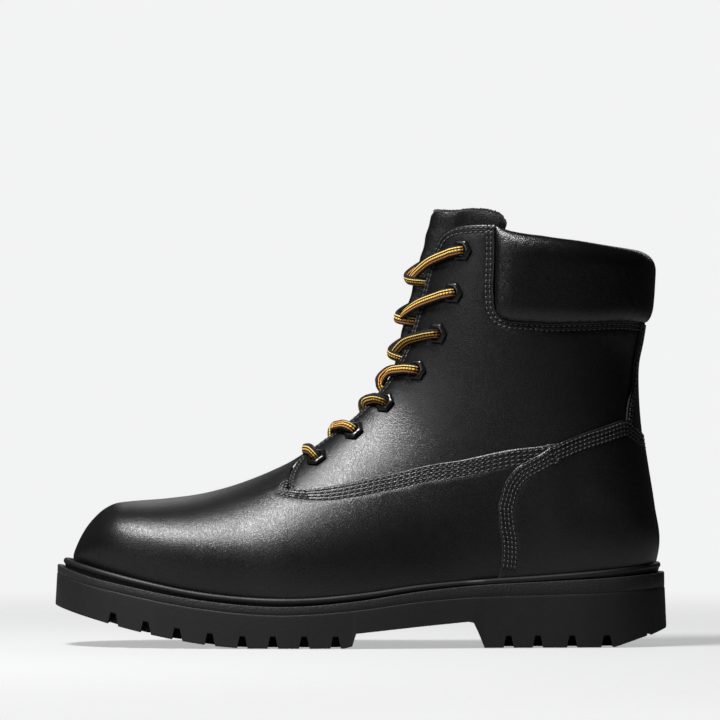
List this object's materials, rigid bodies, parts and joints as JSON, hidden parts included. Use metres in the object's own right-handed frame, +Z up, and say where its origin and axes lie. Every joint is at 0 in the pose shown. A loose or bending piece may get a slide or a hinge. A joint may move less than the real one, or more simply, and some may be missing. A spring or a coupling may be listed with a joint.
{
  "type": "lace-up safety work boot",
  "caption": "Ankle-high lace-up safety boot with a steel toe cap, padded collar, tongue, hexagonal eyelets, removable footbed and lugged rubber sole; protects and supports the foot.",
  "frame": {"origin": "centre of the bounding box's footprint, at the ground under the lugs", "axes": "+Z up; the toe points along -X and the heel along +X; the lateral (outer) side faces -Y and the medial side +Y"},
  "size_m": [0.3115, 0.1129, 0.2232],
  "materials": {
    "outsole_rubber": "matte",
    "cork": "matte",
    "bare_steel": "satin",
    "fibre_board": "matte",
    "footbed_foam": "matte",
    "footbed_cloth": "matte",
    "black_leather": "semi-gloss",
    "gasket_rubber": "matte",
    "lining_cloth": "matte",
    "padding": "matte",
    "black_metal": "gloss",
    "striped_lace": "matte",
    "aglet_plastic": "gloss"
  },
  "bodies": {
    "boot": {"outsole": "outsole_rubber", "midsole": "outsole_rubber", "welt": "outsole_rubber", "bottom_filler": "cork", "shank": "bare_steel", "insole_board": "fibre_board", "vamp": "black_leather", "vamp_lining": "lining_cloth", "toe_cap": "bare_steel", "toe_cap_gasket": "gasket_rubber", "quarter_lateral": "black_leather", "quarter_medial": "black_leather", "eyestay_lateral": "black_leather", "eyestay_medial": "black_leather", "shaft_lining": "lining_cloth", "heel_patch": "black_leather", "heel_stiffener": "fibre_board", "backstay": "black_leather", "collar_cover": "black_leather", "collar_foam": "padding", "tongue_base": "black_leather", "eyelets_lateral": "black_metal", "eyelets_medial": "black_metal", "eyelet_washers_lateral": "black_metal", "eyelet_washers_medial": "black_metal", "lace": "striped_lace", "lace_end_lateral": "striped_lace", "lace_end_medial": "striped_lace", "aglet_lateral": "aglet_plastic", "aglet_medial": "aglet_plastic"},
    "tongue": {"tongue_leather": "black_leather", "tongue_foam": "padding", "tongue_lining": "lining_cloth"},
    "footbed": {"footbed_foam": "footbed_foam", "footbed_cover": "footbed_cloth"}
  },
  "joints": [
    {"name": "tongue_tilt", "type": "hinge", "parent": "boot", "child": "tongue", "pos_m": [-0.034, 0, 0.085], "axis": [0, 1, 0], "range_deg": [0, 5]},
    {"name": "footbed_lift", "type": "hinge", "parent": "boot", "child": "footbed", "pos_m": [-0.13, 0, 0.0395], "axis": [0, -1, 0], "range_deg": [0, 6]}
  ]
}
